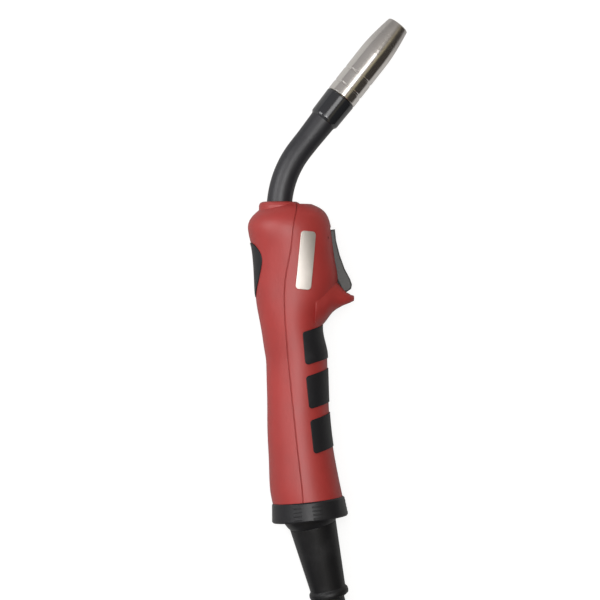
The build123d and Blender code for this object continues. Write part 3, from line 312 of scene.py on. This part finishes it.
# ---- Cable ------------------------------------------------------------------------------------
# One rubber-jacketed cable, 3 m by 16 mm, holds the current strands, gas hose, wire liner and the
# switch's wires. It leaves the boot, lies down, and is wound clockwise in two layers that straps
# hold; its end comes off the top of the coil and lies down to the plug.

CABLE = 16.0
BOOT_LEAN, BOOT_DIP = np.radians(14.2), np.radians(5.0)
CABLE_STARTS, CABLE_BENDS = 30, 58      # distances from the ball, along the boot
ball = Vector(next(j["pos_m"] for j in frame["joints"] if j["name"] == "cable_swing"))
boot_dir = Vector((np.sin(BOOT_LEAN) * np.cos(BOOT_DIP), -np.cos(BOOT_LEAN) * np.cos(BOOT_DIP),
                   -np.sin(BOOT_DIP)))


def lying(x, y, height):
    """Point from the ball's centre along X and Y, at a height above the surface, all in mm."""
    return (ball.x + x * MM, ball.y + y * MM, height * MM)


COIL_CENTRE = (-73.0, -173.0)
TURN_POINTS = 16
RADIUS_AT_TURN = [(0, 104), (0.72, 104), (0.91, 88), (1.72, 88), (1.91, 72), (2.74, 72),
                  (2.92, 80), (3.55, 80), (3.72, 96), (5, 96)]
HEIGHT_AT_TURN = [(0, 9.6), (2.58, 9.6), (2.74, 25.6), (2.95, 23.5), (3.5, 23.5), (3.6, 25.6),
                  (3.93, 25.6), (4.05, 23.5), (4.9, 23.6), (5, 24.6)]
turns = np.arange(1, 5 * TURN_POINTS + 1) / TURN_POINTS
radii = np.interp(turns, *zip(*RADIUS_AT_TURN)) / np.cos(np.pi / TURN_POINTS)
heights = np.interp(turns, *zip(*HEIGHT_AT_TURN))

route = [tuple(ball + boot_dir * distance * MM) for distance in (CABLE_STARTS, CABLE_BENDS)]
route += [lying(*point) for point in [
    (24.0, -85.0, 11.6), (31.0, -115.0, 8.8), (31.5, -145.0, 8.8), (29.0, -172.0, 9.6)]]
for turn, radius, height in zip(turns, radii, heights):
    route.append(lying(COIL_CENTRE[0] + radius * np.cos(2 * np.pi * turn),
                       COIL_CENTRE[1] - radius * np.sin(2 * np.pi * turn), height))
route += [lying(*point) for point in [
    (23.0, -197.0, 25.2), (23.0, -234.9, 25.6), (8.6, -269.8, 20.5), (-18.2, -296.6, 19.0),
    (-53.1, -311.0, 23.0), (-90.0, -311.0, 23.0)]]

curve = bpy.data.curves.new("torch_cable", "CURVE")
curve.dimensions = "3D"
spline = curve.splines.new("NURBS")
spline.points.add(len(route) - 1)
spline.points.foreach_set("co", np.c_[route, np.ones(len(route))].ravel())
spline.order_u = 3
spline.use_endpoint_u = True
spline.resolution_u = 8
curve.bevel_depth = CABLE / 2 * MM
curve.bevel_resolution = 6
curve.use_fill_caps = True
cable = bpy.data.objects.new("torch_cable", curve)
bpy.context.collection.objects.link(cable)

jacket = Finish("cable_jacket", Specular_IOR_Level=0.45)
scuffs = jacket.noise(120, 5, 0.7)
dust = jacket.ramp(jacket.noise(24, 4, 0.6), (0.45, 0.0), (0.8, 1.0))
jacket.set(Base_Color=jacket.blend(dust, (0.011, 0.011, 0.013), (0.024, 0.023, 0.023)),
           Roughness=0.36 + 0.2 * scuffs,
           Normal=jacket.bump(jacket.noise(1100, 4, 0.7), 0.0002, 0.3))
curve.materials.append(jacket.material)
jacket.paint("cable_root", "cable_core")
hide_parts("cable_lead", "cable_coil", "cable_tail")
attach(cable, "cable_side")

# ---- Coil straps ------------------------------------------------------------------------------
# Three loops of black hook-and-loop tape, 20 mm wide, hold the coil. Each is drawn round all the
# turns like a belt round a stack of pipes, and its free end laps over itself on top.

STRAP_ANGLES = (80, 165, 250)
STRAP_HALF_WIDTH = 10.0
STRAP_FACES = (8.1, 9.4)        # distances from the cable's centre line: inner face, outer face
LAP_FACES = (9.45, 10.6)
COIL_RADIUS = 88.0
PILE = [(72.0, 9.6), (104.0, 9.6), (96.0, 23.5), (80.0, 23.5)]   # outermost turns: radius, height


def belt_line(lean, offset):
    """Closed line at an offset round the pile: the turn that lies furthest out in each direction,
    plus the offset in that direction. lean is the direction's angle from outwards, in radians."""
    way = np.stack([np.cos(lean), np.sin(lean)], axis=-1)
    furthest = np.argmax(way @ np.array(PILE).T, axis=-1)
    return np.array(PILE)[furthest] + way * np.asarray(offset)[..., None]


def belt(angle, lean, inner, outer, closed):
    """Points, faces and UVs of a band round the coil. Its section, a flat ring of 12 points, is
    carried along belt_line: across runs from -1 to 1 outside and back inside, corners drawn in."""
    across = np.array([-1, -0.94, -0.5, 0, 0.5, 0.94, 1, 0.94, 0.5, 0, -0.5, -0.94])
    depth = np.array([0.5, 1, 1, 1, 1, 1, 0.5, 0, 0, 0, 0, 0])
    leans, shares = np.meshgrid(lean, across, indexing="ij")
    place = belt_line(leans, inner + (outer - inner) * depth)
    turn = np.radians(angle) + shares * STRAP_HALF_WIDTH / COIL_RADIUS
    points = np.stack([
        ball.x / MM + COIL_CENTRE[0] + place[..., 0] * np.cos(turn),
        ball.y / MM + COIL_CENTRE[1] + place[..., 0] * np.sin(turn), place[..., 1]], axis=-1) * MM
    rows, columns = shares.shape
    grid = np.arange(rows * columns).reshape(rows, columns)
    ends = [] if closed else [grid[0, ::-1].tolist(), grid[-1].tolist()]
    if closed:
        grid = np.r_[grid, grid[:1]]
    grid = np.c_[grid, grid[:, :1]]
    faces = np.stack([grid[:-1, :-1], grid[:-1, 1:], grid[1:, 1:], grid[1:, :-1]], axis=-1)
    along = np.r_[0, np.cumsum(np.linalg.norm(np.diff(place[:, 3], axis=0), axis=1))]
    weave = np.stack([np.repeat(along, columns), (shares * STRAP_HALF_WIDTH).ravel()], axis=-1)
    return points.reshape(-1, 3), faces.reshape(-1, 4).tolist() + ends, weave


full_turn = np.linspace(0, 2 * np.pi, 96, endpoint=False)
top_lap = np.radians(np.linspace(35, 118, 30))
points, faces, weave = [], [], []
for angle in STRAP_ANGLES:
    for band in (belt(angle, full_turn, *STRAP_FACES, True),
                 belt(angle, top_lap, *LAP_FACES, False)):
        faces += [[vertex + len(points) for vertex in face] for face in band[1]]
        points += band[0].tolist()
        weave += band[2].tolist()
mesh = bpy.data.meshes.new("coil_straps")
mesh.from_pydata(points, [], faces)
corners = np.array([vertex for face in faces for vertex in face])
mesh.uv_layers.new(name="weave").data.foreach_set("uv", np.array(weave)[corners].ravel())
mesh.polygons.foreach_set("use_smooth", [True] * len(faces))
mesh.update()
straps = bpy.data.objects.new("coil_straps", mesh)
bpy.context.collection.objects.link(straps)

tape = Finish("strap_tape", Roughness=0.88, Specular_IOR_Level=0.2)
thread = tape.node("SeparateXYZ", sockets={0: tape.node("UVMap", {"uv_map": "weave"})})
crossing = Wire(tape, thread.socket.node.outputs["Y"])
ribs = (thread * 5.2).math("SINE") * (crossing * 5.2).math("SINE")
fluff = tape.noise(1900, 4, 0.7)
tape.set(Base_Color=tape.blend(fluff, (0.012, 0.012, 0.013), (0.03, 0.03, 0.032)),
         Normal=tape.bump(ribs * 0.5 + fluff, 0.0003, 0.7))
mesh.materials.append(tape.material)
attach(straps, "cable_side")
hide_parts("coil_ties")

# ---- Studio -----------------------------------------------------------------------------------
# White table under a soft room: pale on the left, dark on the right with two pale door frames. A
# small bright lamp and a large soft one hang over the torch, and a third stands low on the left.

mesh = bpy.data.meshes.new("studio_floor")
mesh.from_pydata([(-6, -6, 0), (6, -6, 0), (6, 6, 0), (-6, 6, 0)], [], [(0, 1, 2, 3)])
floor = bpy.data.objects.new("studio_floor", mesh)
bpy.context.collection.objects.link(floor)
table = Finish("table_white", Roughness=0.8, Specular_IOR_Level=0.0, Emission_Strength=1.0)
seen = table.node("LightPath", output="Is Camera Ray")
table.set(Base_Color=table.blend(seen, (0.48, 0.48, 0.48), (0.28, 0.28, 0.28)),
          Emission_Color=table.blend(seen, (0.05, 0.05, 0.05), (0.8, 0.8, 0.8)))
mesh.materials.append(table.material)

world = bpy.data.worlds.new("studio_room")
world.use_nodes = True
bpy.context.scene.world = world
room = Finish.__new__(Finish)        # the room has a node tree but no shader of its own
room.tree = world.node_tree
side = room.node("VectorMath", {"operation": "DOT_PRODUCT"},
                 {0: room.node("TexCoord", output="Generated"), 1: (0.8, -0.6, 0.0)},
                 output="Value")
walls = room.ramp(side * 0.5 + 0.5, (0.0, (0.36, 0.35, 0.35)), (0.4, (0.44, 0.42, 0.4)),
                  (0.63, (0.12, 0.1, 0.08)), (0.665, (0.8, 0.7, 0.45)),
                  (0.69, (0.07, 0.06, 0.04)), (0.72, (0.5, 0.45, 0.3)),
                  (0.75, (0.04, 0.035, 0.03)), (1.0, (0.05, 0.045, 0.04)))
background = world.node_tree.nodes["Background"]
room.plug(background.inputs["Color"], walls)
background.inputs["Strength"].default_value = 1.0


def lamp(name, place, size, power):
    """Soft square lamp that faces the torch."""
    light = bpy.data.lights.new(name, "AREA")
    light.size = size
    light.energy = power
    made = bpy.data.objects.new(name, light)
    made.location = place
    made.rotation_euler = (-Vector(place)).to_track_quat("-Z", "Y").to_euler()
    made.visible_camera = False
    bpy.context.collection.objects.link(made)


# each lamp: name, place and size in metres, power in watts
lamp("key_lamp", (-0.17, 0.05, 1.2), 0.28, 4.2)
lamp("soft_lamp", (-0.27, 0.05, 1.25), 0.9, 7)
lamp("left_lamp", (-1.1, 0.4, 0.7), 0.7, 9)

VIEW_TURN = np.radians(10.0)
VIEW_DISTANCE = 1.8
VIEW_HEIGHT = 0.342
target = ball + Vector((-5.2, 118.6, 0)) * MM
camera_data = bpy.data.cameras.new("camera")
camera_data.sensor_width = 36.0
camera_data.angle = 2 * np.arctan(VIEW_HEIGHT / 2 / VIEW_DISTANCE)
camera = bpy.data.objects.new("camera", camera_data)
camera.location = target + Vector((-np.sin(VIEW_TURN), 0, np.cos(VIEW_TURN))) * VIEW_DISTANCE
camera.rotation_euler = (0, -VIEW_TURN, 0)
bpy.context.collection.objects.link(camera)
bpy.context.scene.camera = camera
bpy.context.scene.view_settings.view_transform = "Standard"
